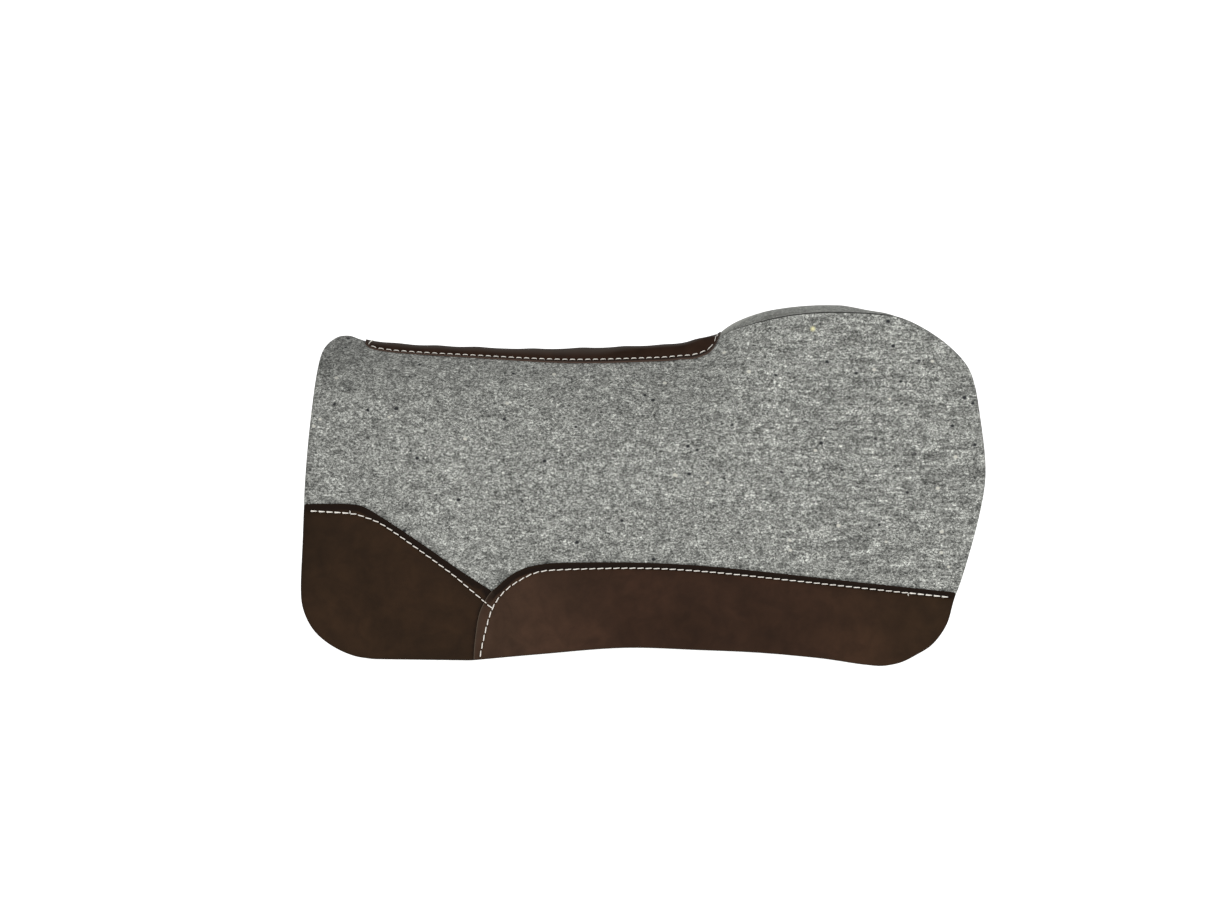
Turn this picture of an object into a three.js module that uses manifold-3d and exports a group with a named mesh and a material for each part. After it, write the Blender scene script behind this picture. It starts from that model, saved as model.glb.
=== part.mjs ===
// Western saddle pad of thick wool felt, standing as a tent on its lower edges.
// Millimetres. +X runs along the spine towards the withers, +Z is up, the off side is at -Y.
// The origin is on the floor, under the middle of the pad.

import * as THREE from 'three';
import { mergeVertices } from 'three/addons/utils/BufferGeometryUtils.js';
import Module from 'manifold-3d';

const wasm = await Module();
wasm.setup();

// Driving dimensions.
const FELT_THICKNESS = 22;
const LEATHER_THICKNESS = 3;
const THREAD_RADIUS = 0.8;
const GAP = 0.3;                 // clearance between touching pieces
const HALF_LENGTH = 382;
const HALF_SPREAD = 121;         // from the middle plane to the outer bottom edge
const LEG_SLOPE = THREE.MathUtils.degToRad(80);   // the flat lower part, from level
const HINGE_HEIGHT = 352;        // the line the two sides fold about
const CLOSE_RELIEF = THREE.MathUtils.degToRad(13);
const OPEN_RELIEF = THREE.MathUtils.degToRad(37);

// Across the pad, each side is a flat leg with a round shoulder over it. The shoulder is
// tight at the rear, so the top is round there, and slack at the front, so it is a ridge.
const REAR_SHOULDER_RADIUS = 118;
const FRONT_SHOULDER_RADIUS = 240;
const SHOULDER_CHANGE = [-320, 40];

// At the withers the two sides part and each flap stands up straight.
const SEAM_END = 88;
const FLARE = [70, 150];
const FLAP_LEG_TOP = 385;

// Height of the felt ridge along the spine, as [x, z].
const RIDGE = [
  [-400, 362], [-340, 353], [-315, 345.5], [-280, 341], [-190, 338.5], [-97, 337.7],
  [-5, 342], [45, 346.8], [SEAM_END, 362], [400, 362],
];

// Side outline of a felt panel, as [x, z], in runs that a smooth curve passes through.
const LID_HEIGHT = 375;          // above the ridge, where the seam ends the panel instead
const LID_ENDS = [-325, 60];
const REAR_REST = [-300, -190];  // the two stretches of the lower edge that meet the floor
const FRONT_REST = [245, 276];
const BELLY_EDGE = [[-113, 7.8], [-20, 16], [66, 14.7], [133, 12.6], [200, 7.5]];
const FRONT_CORNER = [
  [307, 13.5], [325, 26], [340, 47], [347, 73], [357, 100], [372, 153], [381, 198],
  [HALF_LENGTH, 230], [378, 272], [369, 313], [357, 338], [328, 365], [286, 386],
];
const FLAP_TOP = [[241, 391], [190, 390.5], [145, 384], [107, 372.5]];
const REAR_TOP_CORNER = [[-338, 353], [-350, 351.5], [-361, 345], [-368, 330]];
const REAR_EDGE = [[-374.5, 280], [-379, 215], [-381, 130], [-HALF_LENGTH, 75]];
const REAR_CORNER = [[-378, 51], [-366, 30], [-346, 14], [-322, 3.5]];

// Wear leathers, side view, as [x, z]. Their outlines run past the felt, which cuts them off.
const PAST_ENDS = 400;
const PAST_FLOOR = -20;
const LEATHERS_MEET = [-168, 77];
const REAR_LEATHER_TOP = [[-325, 170.5], [-310, 166.5], [-285, 152], [-206, 100.5]];
const FRONT_LEATHER_TOP = [
  [-161, 83], [-144, 98], [-131, 104.5], [-94, 109], [-2, 110.5], [88, 106.5], [250, 91.5],
  [PAST_ENDS, 78],
];
const LAP_EDGE = [[-174, 69], [-182, 50], [-186, 20], [-187, 0]];
const LAP_STEP = [-166, -159];   // the front leather comes down off the rear one here

// Spine leather, in plan.
const SPINE_HALF_WIDTH = 17;
const SPINE_REAR = -317;
const SPINE_FRONT = 86;
const SPINE_REAR_TAPER = 36;
const SPINE_FRONT_ROUND = 16;
const SPINE_LIFT = 1.8;           // over the felt, so that the flat facets stay clear

// Stitch lines.
const REAR_STITCH = [
  [-373, 162.5], [-324, 160], [-310, 156], [-287, 146], [-220, 100.5], [-192, 82.5],
  [-182, 75.5], [-171, 64.5],
];
const FRONT_STITCH = [
  [-180, 4], [-175, 30], [-167, 58], [-154, 77], [-136, 90], [-119, 98], [-94, 101.5],
  [-2, 104.5], [74, 101.5], [170, 93], [278, 83], [343, 77],
];
const STITCH_INSET = 5;          // from the spine leather's edge
const SPINE_THREAD_REAR = -300;
const SPINE_THREAD_NARROWEST = 5;
const SEAM_THREAD_DEPTH = 9;     // under the felt ridge

const COLOURS = {
  felt: [0x8c8c89, 0.95],
  rearLeather: [0x35271e, 0.55],
  frontLeather: [0x43332a, 0.55],
  spineLeather: [0x3a2117, 0.55],
  thread: [0xe9e3d6, 0.7],
};

// Helpers.

const lerp = THREE.MathUtils.lerp;
const smooth = (range, x) => THREE.MathUtils.smoothstep(x, range[0], range[1]);

// A smooth height through [x, z] points in rising x.
function heightAt(points, x) {
  const last = points.length - 1;
  let i = 0;
  while (i < last - 1 && x > points[i + 1][0]) i += 1;
  const slope = (k) => {
    const a = points[Math.max(k - 1, 0)];
    const b = points[Math.min(k + 1, last)];
    return (b[1] - a[1]) / (b[0] - a[0]);
  };
  const [x0, z0] = points[i];
  const [x1, z1] = points[i + 1];
  const width = x1 - x0;
  const t = THREE.MathUtils.clamp((x - x0) / width, 0, 1);
  const u = 1 - t;
  return z0 * u * u * (1 + 2 * t) + z1 * t * t * (3 - 2 * t)
    + width * t * u * (slope(i) * u - slope(i + 1) * t);
}

const ridgeAt = (x) => heightAt(RIDGE, Math.min(x, SEAM_END));

// The cross-section at x: where the leg meets the shoulder, and the shoulder's circle.
function sectionAt(x) {
  const sin = Math.sin(LEG_SLOPE);
  const cos = Math.cos(LEG_SLOPE);
  const drift = cos / sin;
  const radius = lerp(REAR_SHOULDER_RADIUS, FRONT_SHOULDER_RADIUS, smooth(SHOULDER_CHANGE, x));
  // the circle is tangent to the leg and passes through the ridge on the middle plane
  const a = ridgeAt(x) + radius * cos;
  const b = -HALF_SPREAD + radius * sin;
  const half = a - drift * b;
  const q = 1 + drift * drift;
  const seamed = (half - Math.sqrt(half * half - q * (a * a + b * b - radius * radius))) / q;
  const legTop = lerp(seamed, FLAP_LEG_TOP, smooth(FLARE, x));
  const centreY = -HALF_SPREAD + drift * legTop + radius * sin;
  const centreZ = legTop - radius * cos;
  return { legTop, radius, centreY, centreZ };
}

// Height of the felt's outer surface over a point in plan.
function surfaceHeight(x, y) {
  const { radius, centreY, centreZ } = sectionAt(x);
  const across = centreY + Math.abs(y);
  return Math.min(ridgeAt(x), centreZ + Math.sqrt(radius * radius - across * across));
}

function solid(geometry) {
  const bare = geometry.clone();
  bare.deleteAttribute('normal');
  bare.deleteAttribute('uv');
  const merged = mergeVertices(bare, 1e-4);
  return new wasm.Manifold(new wasm.Mesh({
    numProp: 3,
    vertProperties: new Float32Array(merged.attributes.position.array),
    triVerts: new Uint32Array(merged.index.array),
  }));
}

function geometryOf(manifold) {
  const cut = manifold.getMesh();
  const geometry = new THREE.BufferGeometry();
  geometry.setAttribute('position', new THREE.BufferAttribute(cut.vertProperties, 3));
  geometry.setIndex(new THREE.BufferAttribute(cut.triVerts, 1));
  geometry.computeVertexNormals();
  return geometry;
}

// The near side is the off side mirrored in the middle plane.
function mirrored(geometry) {
  const bare = geometry.clone();
  bare.deleteAttribute('normal');
  bare.deleteAttribute('uv');
  const copy = mergeVertices(bare, 1e-4);
  copy.scale(1, -1, 1);
  const index = copy.index.array;
  for (let i = 0; i < index.length; i += 3) {
    [index[i], index[i + 1]] = [index[i + 1], index[i]];
  }
  copy.computeVertexNormals();
  return copy;
}

const vectors = (points) => points.map(([x, z]) => new THREE.Vector2(x, z));

function prism(shape, depth, curveSegments = 3) {
  return new THREE.ExtrudeGeometry(shape, { depth, curveSegments, bevelEnabled: false });
}

// From the flat frame of a leg (x, up the slope, outward) to its place on the off side.
function ontoLeg(geometry) {
  return geometry.rotateX(LEG_SLOPE).translate(0, -HALF_SPREAD, 0);
}

// A side view of the leg, stretched to its true height up the slope.
function unfolded(geometry) {
  return geometry.scale(1, 1 / Math.sin(LEG_SLOPE), 1);
}

// Felt panel.

function panelOutline() {
  const outline = new THREE.Shape();
  outline.moveTo(REAR_REST[0], 0);
  outline.lineTo(REAR_REST[1], 0);
  outline.splineThru(vectors([...BELLY_EDGE, [FRONT_REST[0], 0]]));
  outline.lineTo(FRONT_REST[1], 0);
  outline.splineThru(vectors([...FRONT_CORNER, ...FLAP_TOP, [SEAM_END, ridgeAt(SEAM_END)]]));
  outline.lineTo(FLARE[0], ridgeAt(FLARE[0]));
  outline.lineTo(LID_ENDS[1], LID_HEIGHT);
  outline.lineTo(LID_ENDS[0], LID_HEIGHT);
  outline.lineTo(...REAR_TOP_CORNER[0]);
  outline.splineThru(vectors([...REAR_TOP_CORNER.slice(1), ...REAR_EDGE]));
  outline.splineThru(vectors([...REAR_CORNER, [REAR_REST[0], 0]]));
  return outline;
}

// A slab that follows the leg and the shoulder, longer and taller than the panel.
function bentSlab() {
  const stations = [
    -390, -340, -315, -280, -235, -190, -130, -70, -10, 30, 60, 70, 76, 80, 84, 88, 100, 112,
    124, 137, 150, 390,
  ];
  const arcRows = 6;
  const rows = arcRows + 1;
  const belowFloor = -14;
  const pastRidge = THREE.MathUtils.degToRad(9);
  const flapTopAngle = 1.2;      // radians; a flap is nearly all leg, so its shoulder is short
  const slab = new THREE.BoxGeometry(1, 1, 1, stations.length - 1, rows, 1);
  const place = slab.attributes.position;
  for (let i = 0; i < place.count; i += 1) {
    const x = stations[Math.round((place.getX(i) + 0.5) * (stations.length - 1))];
    const row = Math.round((place.getY(i) + 0.5) * rows);
    const depth = (0.5 - place.getZ(i)) * FELT_THICKNESS;
    const { legTop, radius, centreY, centreZ } = sectionAt(x);
    if (row === 0) {
      const along = belowFloor / Math.tan(LEG_SLOPE);
      const y = -HALF_SPREAD + along + depth * Math.sin(LEG_SLOPE);
      place.setXYZ(i, x, y, belowFloor - depth * Math.cos(LEG_SLOPE));
      continue;
    }
    const ridgeAngle = Math.asin(centreY / radius) - pastRidge;
    const topAngle = legTop < FLAP_LEG_TOP ? ridgeAngle : flapTopAngle;
    const angle = lerp(LEG_SLOPE, topAngle, (row - 1) / arcRows);
    const reach = radius - depth;
    place.setXYZ(i, x, centreY - reach * Math.sin(angle), centreZ + reach * Math.cos(angle));
  }
  return slab;
}

// What each side may fill, so that it folds and opens without meeting the other side.
function foldingRoom() {
  const below = 50;
  const above = 120;
  const farY = -300;
  const section = new THREE.Shape(vectors([
    [-GAP / 2, HINGE_HEIGHT],
    [-GAP / 2 - above * Math.tan(OPEN_RELIEF), HINGE_HEIGHT + above],
    [farY, HINGE_HEIGHT + above],
    [farY, -below],
    [-GAP / 2 - (HINGE_HEIGHT + below) * Math.tan(CLOSE_RELIEF), -below],
  ]));
  const room = prism(section, 2.4 * HALF_LENGTH);
  room.applyMatrix4(new THREE.Matrix4().makeBasis(
    new THREE.Vector3(0, 1, 0),
    new THREE.Vector3(0, 0, 1),
    new THREE.Vector3(1, 0, 0),
  ));
  return room.translate(-1.2 * HALF_LENGTH, 0, 0);
}

function feltPanel() {
  const outline = prism(panelOutline(), 2 * HALF_SPREAD).rotateX(Math.PI / 2);
  return geometryOf(solid(bentSlab()).intersect(solid(outline)).intersect(solid(foldingRoom())));
}

// Wear leathers, made flat and then laid on the leg.

// A leather follows the felt's lower edge and ends, so its shape is a region of the panel.
function leatherFrom(plate, region) {
  const deep = 40;
  const panel = unfolded(prism(panelOutline(), deep)).translate(0, 0, -deep / 2);
  const cut = unfolded(prism(region, deep)).translate(0, 0, -deep / 2);
  const flat = solid(plate).intersect(solid(panel)).intersect(solid(cut));
  return ontoLeg(geometryOf(flat));
}

function rearLeather() {
  const region = new THREE.Shape();
  const [[, rearHeight]] = REAR_LEATHER_TOP;
  region.moveTo(-PAST_ENDS, PAST_FLOOR);
  region.lineTo(LEATHERS_MEET[0], PAST_FLOOR);
  region.lineTo(...LEATHERS_MEET);
  region.splineThru(vectors([...REAR_LEATHER_TOP].reverse()));
  region.lineTo(-PAST_ENDS, rearHeight);
  const plate = new THREE.BoxGeometry(2 * PAST_ENDS, 2 * PAST_ENDS, LEATHER_THICKNESS);
  plate.translate(0, 0, GAP + LEATHER_THICKNESS / 2);
  return leatherFrom(plate, region);
}

function frontLeather() {
  const region = new THREE.Shape();
  const lapEnd = LAP_EDGE[LAP_EDGE.length - 1];
  const fromFront = [...FRONT_LEATHER_TOP].reverse();
  region.moveTo(lapEnd[0], PAST_FLOOR);
  region.lineTo(PAST_ENDS, PAST_FLOOR);
  region.lineTo(...fromFront[0]);
  region.splineThru(vectors([...fromFront.slice(1), LEATHERS_MEET]));
  region.splineThru(vectors(LAP_EDGE));
  // seen on edge, the sheet steps down from the rear leather to the felt
  const low = GAP;
  const high = 2 * GAP + LEATHER_THICKNESS;
  const thick = LEATHER_THICKNESS;
  const far = PAST_ENDS + 1;
  const edge = new THREE.Shape(vectors([
    [-far, high], [LAP_STEP[0], high], [LAP_STEP[1], low], [far, low],
    [far, low + thick], [LAP_STEP[1] + 1, low + thick],
    [LAP_STEP[0] + 1, high + thick], [-far, high + thick],
  ]));
  const plate = prism(edge, 2 * PAST_ENDS).rotateX(Math.PI / 2).translate(0, PAST_ENDS, 0);
  return leatherFrom(plate, region);
}

// Spine leather: a strip bent over the ridge, rounded at the withers and tapered at the rear.

function spineHalfWidth(x) {
  const rear = Math.max(0, (SPINE_REAR + SPINE_REAR_TAPER - x) / SPINE_REAR_TAPER);
  const front = Math.max(0, (x - SPINE_FRONT + SPINE_FRONT_ROUND) / SPINE_FRONT_ROUND);
  return SPINE_HALF_WIDTH * Math.sqrt(1 - rear * rear) * Math.cbrt(1 - front ** 3);
}

function spineLeather() {
  const tip = 0.4;
  const stations = [
    SPINE_REAR + tip, -312, -305, -296, -281, -250, -210, -170, -130, -90, -50, -10, 20, 45, 60,
    70, 76, 80, 84, SPINE_FRONT - tip,
  ];
  const across = 10;
  const strip = new THREE.BoxGeometry(1, 1, 1, stations.length - 1, across, 1);
  const place = strip.attributes.position;
  for (let i = 0; i < place.count; i += 1) {
    const x = stations[Math.round((place.getX(i) + 0.5) * (stations.length - 1))];
    const y = 2 * place.getY(i) * spineHalfWidth(x);
    const lift = SPINE_LIFT + (place.getZ(i) + 0.5) * LEATHER_THICKNESS;
    place.setXYZ(i, x, y, surfaceHeight(x, y) + lift);
  }
  return geometryOf(solid(strip));
}

// Threads: each run of stitches is one line of thread just over its leather.

function thread(points, steps) {
  const section = new THREE.Shape();
  section.absarc(0, 0, THREAD_RADIUS, 0, 2 * Math.PI);
  const path = new THREE.CatmullRomCurve3(points, false, 'catmullrom', 0.5);
  const run = new THREE.ExtrudeGeometry(section, {
    steps, extrudePath: path, curveSegments: 3, bevelEnabled: false,
  });
  return geometryOf(solid(run));
}

// Both lines run partly over the lap, where the front leather lies on the rear one.
const onFrontLap = (x) => 1 - smooth([LAP_STEP[0] + 5, -148], x);
const ontoRearLap = (x) => smooth([-192, -182], x);

function legThread(line, lapped, steps) {
  const rise = 1 / Math.sin(LEG_SLOPE);
  const low = 2 * GAP + LEATHER_THICKNESS + THREAD_RADIUS;
  const high = low + GAP + LEATHER_THICKNESS;
  const points = line.map(([x, z]) => (
    new THREE.Vector3(x, z * rise, lerp(low, high, lapped(x)))
  ));
  return ontoLeg(thread(points, steps));
}

function spineThread() {
  const lift = SPINE_LIFT + LEATHER_THICKNESS + 3 * THREAD_RADIUS;
  const along = [
    SPINE_THREAD_REAR, -280, -250, -210, -170, -130, -90, -50, -10, 20, 45, 60, 70, 77,
  ];
  const inset = (x) => Math.max(spineHalfWidth(x) - STITCH_INSET, SPINE_THREAD_NARROWEST);
  const point = (x, y) => new THREE.Vector3(x, y, surfaceHeight(x, y) + lift);
  const side = along.map((x) => point(x, inset(x)));
  const back = [...side].reverse().map((p) => new THREE.Vector3(p.x, -p.y, p.z));
  const nose = SPINE_FRONT - STITCH_INSET;
  return thread([...side, point(nose, 6), point(nose + 0.5, 0), point(nose, -6), ...back], 84);
}

function seamThread() {
  const along = [-330, -300, -240, -180, -120, -60, 0, 40, 66];
  return thread(along.map((x) => (
    new THREE.Vector3(x, 0, ridgeAt(x) - SEAM_THREAD_DEPTH)
  )), 20);
}

// The pad.

const pad = new THREE.Group();

function add(parent, name, geometry, [color, roughness]) {
  const material = new THREE.MeshStandardMaterial({ color, roughness, metalness: 0 });
  const mesh = new THREE.Mesh(geometry, material);
  mesh.name = name;
  parent.add(mesh);
}

const spine = new THREE.Group();
const offSide = new THREE.Group();
const nearSide = new THREE.Group();
pad.add(spine, offSide, nearSide);

add(spine, 'spine_leather', spineLeather(), COLOURS.spineLeather);
add(spine, 'spine_leather_stitching', spineThread(), COLOURS.thread);
add(spine, 'spine_seam_thread', seamThread(), COLOURS.thread);

const sidePieces = [
  ['felt_panel', feltPanel(), COLOURS.felt],
  ['rear_wear_leather', rearLeather(), COLOURS.rearLeather],
  ['front_wear_leather', frontLeather(), COLOURS.frontLeather],
  ['rear_wear_leather_stitching', legThread(REAR_STITCH, ontoRearLap, 30), COLOURS.thread],
  ['front_wear_leather_stitching', legThread(FRONT_STITCH, onFrontLap, 44), COLOURS.thread],
];
for (const [name, geometry, finish] of sidePieces) {
  add(offSide, `off_side_${name}`, geometry, finish);
  add(nearSide, `near_side_${name}`, mirrored(geometry), finish);
}

export default pad;
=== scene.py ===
"""A grey wool felt saddle pad with leather trim: the looks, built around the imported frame.

Shapes are worked out in millimetres on the pad's own surface and turned into metres as each
mesh is made. A point of the surface is (x, s): x along the spine, s up the outer face from
the floor. The off side is at -Y; the near side is its mirror.
"""

import math

import bpy
import numpy as np
from mathutils import Matrix, Vector, geometry, kdtree, noise


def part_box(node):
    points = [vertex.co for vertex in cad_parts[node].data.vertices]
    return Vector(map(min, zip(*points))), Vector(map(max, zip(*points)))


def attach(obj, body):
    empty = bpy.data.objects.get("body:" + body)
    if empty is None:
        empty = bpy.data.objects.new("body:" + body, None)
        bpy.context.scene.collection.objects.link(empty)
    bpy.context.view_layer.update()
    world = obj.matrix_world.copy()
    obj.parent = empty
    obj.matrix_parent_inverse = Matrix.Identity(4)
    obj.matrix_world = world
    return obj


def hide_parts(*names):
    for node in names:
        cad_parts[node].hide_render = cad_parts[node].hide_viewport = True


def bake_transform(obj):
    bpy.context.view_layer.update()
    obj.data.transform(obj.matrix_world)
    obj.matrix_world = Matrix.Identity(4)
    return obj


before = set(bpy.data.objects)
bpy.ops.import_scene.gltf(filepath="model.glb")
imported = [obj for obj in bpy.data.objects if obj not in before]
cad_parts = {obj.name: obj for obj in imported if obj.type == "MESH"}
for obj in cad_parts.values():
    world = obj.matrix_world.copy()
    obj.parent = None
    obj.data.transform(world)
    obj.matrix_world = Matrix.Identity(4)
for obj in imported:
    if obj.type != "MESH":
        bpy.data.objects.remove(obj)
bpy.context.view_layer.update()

MM = 0.001
SIDES = ("off_side", "near_side")

# ---------------------------------------------------------------- the frame's dimensions

FELT_LOW, FELT_HIGH = (np.array(c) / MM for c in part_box("off_side_felt_panel"))
HALF_LENGTH = FELT_HIGH[0]
HALF_SPREAD = -FELT_LOW[1]
THICKNESS = 22.0
LEATHER = 3.0
SPINE_LEATHER = LEATHER - 0.6
SLOPE = math.radians(80)
SIN, COS = math.sin(SLOPE), math.cos(SLOPE)
REAR_RADIUS, FRONT_RADIUS = 118.0, 240.0
RADIUS_CHANGE = (-320.0, 40.0)  # the x between which the shoulder's radius changes
SEAM_END = 88.0                 # the x at which the flaps part
FLARE = (70.0, 150.0)           # the x over which the shoulder turns into the upright flap
FLAP_LEG_TOP = 385.0
PARTING_DIP = 5.6
LEVEL_CUT_REACH = 150.0         # how far up the inner face the level cut makes a difference
RIDGE = (
    (-400, 362), (-340, 353), (-315, 345.5), (-280, 341), (-190, 338.5), (-97, 337.7),
    (-5, 342), (45, 346.8), (SEAM_END, 362), (400, 362),
)

# Side outlines as (x, height), the points that smooth curves pass through.
REAR_REST = (-300, -190)
FRONT_REST = (262, 272)
BELLY_EDGE = ((-113, 7.8), (-20, 16), (66, 14.7), (133, 12.6), (200, 7.5), (240, 2.2))
FRONT_CORNER = (
    (290, 4), (307, 12.5), (326, 25), (341.5, 47), (349, 73), (358.5, 100), (373.5, 153),
    (382.5, 198), (HALF_LENGTH + 0.8, 230), (377.8, 272), (370.5, 313), (358.5, 338), (328, 365),
    (286, 386),
)
FLAP_TOP = ((241, 391), (190, 390.5), (145, 384), (107, 372.5), (SEAM_END, 362))
REAR_TOP_CORNER = ((-338, 353), (-350, 351.5), (-361, 345), (-368, 330))
REAR_EDGE = ((-373.5, 280), (-379, 215), (-381, 130), (-HALF_LENGTH + 0.3, 75))
REAR_CORNER = ((-378, 51), (-366, 30), (-346, 14), (-322, 3.5))
LEATHERS_MEET = (-168, 77)
REAR_LEATHER_TOP = (
    (-379.6, 170), (-352, 170.8), (-325, 170.5), (-310, 166.5), (-285, 152), (-245, 126.5),
    (-206, 100.5), LEATHERS_MEET,
)
FRONT_LEATHER_TOP = (
    LEATHERS_MEET, (-161, 83), (-149, 93.5), (-138, 100), (-124, 105), (-94, 109), (-2, 110.5),
    (88, 106.5), (250, 91.5), (349.8, 82.5),
)
LAP_EDGE = (LEATHERS_MEET, (-174, 69), (-182, 50), (-186, 20), (-187, 0))
LAPPED_CORNER = (-168, 1.5)     # of the rear leather, under the front one
LAP_STEP = (-169.0, -156.0)     # the x over which the front leather comes down on the felt

# Stitch lines.
STITCH_PITCH, SPINE_PITCH = 9.0, 8.8
REAR_STITCH = (
    (-373, 162.5), (-324, 160), (-310, 156), (-287, 146), (-220, 100.5), (-192, 78.4),
    (-166.3, 57.5),
)
FRONT_STITCH = (
    (-180, 4), (-175, 30), (-167, 58), (-154, 77), (-136, 90), (-119, 98), (-94, 101.5),
    (-2, 104.5), (74, 101.5), (170, 93), (278, 83), (343, 77),
)


# ---------------------------------------------------------------- the pad's surface

def smoothstep(low, high, x):
    t = np.clip((x - low) / (high - low), 0, 1)
    return t * t * (3 - 2 * t)


def height_at(points, x):
    """A smooth height through (x, height) points in rising x."""
    px, pz = (np.array(c, float) for c in zip(*points))
    slope = np.gradient(pz, px)
    slope[1:-1] = (pz[2:] - pz[:-2]) / (px[2:] - px[:-2])
    i = np.clip(np.searchsorted(px, x, side="right") - 1, 0, len(px) - 2)
    width = px[i + 1] - px[i]
    t = np.clip((x - px[i]) / width, 0, 1)
    u = 1 - t
    return (pz[i] * u * u * (1 + 2 * t) + pz[i + 1] * t * t * (3 - 2 * t)
            + width * t * u * (slope[i] * u - slope[i + 1] * t))


def ridge_at(x):
    return height_at(RIDGE, np.minimum(x, SEAM_END))


def crest_at(x):
    """The top edge of the felt along the spine, which dips where the flaps begin to part."""
    return ridge_at(x) - PARTING_DIP * smoothstep(46, 78, x) * (1 - smoothstep(83, 90, x))


def section_at(x):
    """Where the flat leg ends at x, and the radius and centre of the shoulder over it."""
    drift = COS / SIN
    radius = REAR_RADIUS + (FRONT_RADIUS - REAR_RADIUS) * smoothstep(*RADIUS_CHANGE, x)
    a = ridge_at(x) + radius * COS
    b = -HALF_SPREAD + radius * SIN
    half = a - drift * b
    q = 1 + drift * drift
    seamed = (half - np.sqrt(half * half - q * (a * a + b * b - radius * radius))) / q
    leg_top = seamed + (FLAP_LEG_TOP - seamed) * smoothstep(*FLARE, x)
    centre_y = -HALF_SPREAD + drift * leg_top + radius * SIN
    centre_z = leg_top - radius * COS
    return leg_top, radius, centre_y, centre_z


def climb(x, z):
    """The distance s up the outer face at which it is z high."""
    x, z = np.asarray(x, float), np.asarray(z, float)
    leg_top, radius, _, centre_z = section_at(x)
    angle = np.arccos(np.clip((z - centre_z) / radius, -1, 1))
    return np.where(z <= leg_top, z / SIN, leg_top / SIN + radius * (SLOPE - angle))


def place(x, s, depth):
    """Points at a depth under the outer face. A negative depth is above it."""
    x, s, depth = np.broadcast_arrays(*(np.asarray(v, float) for v in (x, s, depth)))
    leg_top, radius, centre_y, centre_z = section_at(x)
    end = leg_top / SIN
    # the lower edge is cut level, so the inner face starts as high as the outer one
    shift = np.maximum(depth, 0) * COS / SIN * (1 - smoothstep(0, LEVEL_CUT_REACH, s))
    leg_s = s + shift
    leg_y = -HALF_SPREAD + leg_s * COS + depth * SIN
    leg_z = leg_s * SIN - depth * COS
    # on the shoulder, the inner arc reaches the middle plane together with the outer one
    angle = SLOPE - (s - end) / radius
    crest = np.arcsin(np.clip(centre_y / radius, -1, 1))
    inner_radius = radius - np.clip(depth, 0, THICKNESS)
    inner_crest = np.arcsin(np.clip(centre_y / inner_radius, -1, 1))
    share = (SLOPE - angle) / (SLOPE - crest)
    angle = SLOPE - share * (SLOPE - inner_crest)
    reach = radius - depth
    arc_y = centre_y - reach * np.sin(angle)
    arc_z = centre_z + reach * np.cos(angle)
    on_leg = s <= end
    return np.stack([x, np.where(on_leg, leg_y, arc_y), np.where(on_leg, leg_z, arc_z)], -1)


# ---------------------------------------------------------------- lines and outlines

def spline(points):
    """A Catmull-Rom curve through points, as points about 1 mm apart."""
    p = np.array(points, float)
    p = np.vstack([2 * p[0] - p[1], p, 2 * p[-1] - p[-2]])
    out = []
    for a, b, c, d in zip(p[:-3], p[1:-2], p[2:-1], p[3:]):
        n = max(2, int(np.linalg.norm(c - b)))
        t = (np.arange(n) / n)[:, None]
        out.append(0.5 * (2 * b + (c - a) * t + (2 * a - 5 * b + 4 * c - d) * t ** 2
                          + (3 * b - a - 3 * c + d) * t ** 3))
    return np.vstack(out + [p[-2:-1]])


def spaced(line, step, closed=False):
    """The same line with evenly spaced points."""
    line = np.vstack([line, line[:1]]) if closed else line
    run = np.r_[0, np.cumsum(np.linalg.norm(np.diff(line, axis=0), axis=1))]
    count = max(2, int(round(run[-1] / step)) + 1)
    at = np.linspace(0, run[-1], count)
    out = np.stack([np.interp(at, run, line[:, k]) for k in range(line.shape[1])], -1)
    return out[:-1] if closed else out


def unroll(line):
    """A side-view line of (x, height) points, laid out on the outer face as (x, s)."""
    line = np.asarray(line, float)
    return np.stack([line[:, 0], climb(line[:, 0], line[:, 1])], -1)


def relax(ring, rounds=2):
    """The ring with its kinks smoothed."""
    for _ in range(rounds):
        ring = (np.roll(ring, 1, 0) + 2 * ring + np.roll(ring, -1, 0)) / 4
    return ring


def felt_outline():
    """The felt panel's cut edge, anticlockwise in (x, s), from the rear lower corner."""
    ridge_x = np.arange(SEAM_END, REAR_TOP_CORNER[0][0], -3.0)[1:]
    runs = [
        [(REAR_REST[0], 0), (REAR_REST[1], 0)],
        spline([(REAR_REST[1], 0), *BELLY_EDGE, (FRONT_REST[0], 0)]),
        spline([(FRONT_REST[1], 0), *FRONT_CORNER, *FLAP_TOP]),
        np.stack([ridge_x, crest_at(ridge_x)], -1),
        spline([*REAR_TOP_CORNER, *REAR_EDGE, *REAR_CORNER, (REAR_REST[0], 0)])[:-1],
    ]
    return unroll(np.vstack([np.asarray(r, float) for r in runs]))


OUTLINE = felt_outline()


def outline_between(start, end):
    """The stretch of the felt's edge from the point nearest start to the one nearest end."""
    ends = unroll([start, end])
    a, b = (int(np.argmin(np.linalg.norm(OUTLINE - e, axis=1))) for e in ends)
    return OUTLINE[a:b + 1] if a <= b else np.vstack([OUTLINE[a:], OUTLINE[:b + 1]])


def distance_to(points, line, closed=False):
    """How far each point is from a line, by way of close-set points on it."""
    return spread(spaced(line, 0.3, closed), np.asarray(points))


def inside(points, ring):
    """Which of the points are inside a ring."""
    x, y = points.T
    x0, y0 = ring.T
    x1, y1 = np.roll(ring, -1, 0).T
    out = np.zeros(len(points), bool)
    for i in range(len(ring)):
        crosses = (y0[i] > y) != (y1[i] > y)
        reach = (x1[i] - x0[i]) * (y - y0[i]) / ((y1[i] - y0[i]) or 1e-12) + x0[i]
        out ^= crosses & (x < reach)
    return out


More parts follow.
